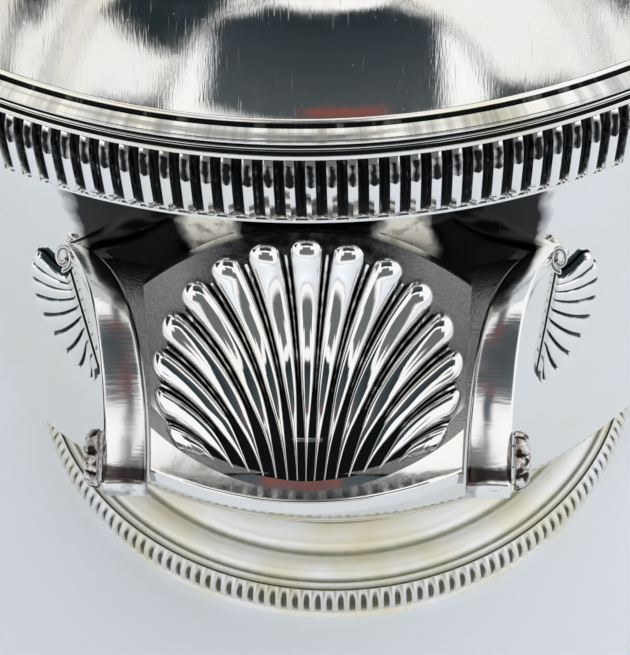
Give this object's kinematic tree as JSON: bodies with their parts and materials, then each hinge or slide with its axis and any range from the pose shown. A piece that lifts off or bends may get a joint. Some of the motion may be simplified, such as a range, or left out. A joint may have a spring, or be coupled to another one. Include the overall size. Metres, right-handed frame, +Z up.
{
  "type": "champagne cooler",
  "caption": "Open round silver-plated cooler with a gadrooned rim, a stepped round foot and fixed scallop-shell handles on opposite sides, for chilling a bottle in ice",
  "frame": {"origin": "middle of the foot, on the table", "axes": "+Z up along the axis of the bowl, the handles face -Y and +Y, +X to the right of the front handle"},
  "size_m": [0.227, 0.276, 0.204],
  "materials": {
    "polished_silver": "polished silver plate with light wear",
    "oxidised_silver": "silver plate, polished on the high parts and darkened in the recesses"
  },
  "bodies": {
    "root": {"bowl": "polished_silver", "rim_moulding": "polished_silver", "rim_gadroons": "oxidised_silver", "foot_collar": "polished_silver", "foot_dome": "polished_silver", "foot_gadroons": "oxidised_silver", "foot_base_ring": "polished_silver", "front_shell": "oxidised_silver", "front_left_arm": "polished_silver", "front_left_boss": "oxidised_silver", "front_left_palmette": "oxidised_silver", "front_right_arm": "polished_silver", "front_right_boss": "oxidised_silver", "front_right_palmette": "oxidised_silver", "back_shell": "oxidised_silver", "back_left_arm": "polished_silver", "back_left_boss": "oxidised_silver", "back_left_palmette": "oxidised_silver", "back_right_arm": "polished_silver", "back_right_boss": "oxidised_silver", "back_right_palmette": "oxidised_silver"}
  },
  "joints": []
}
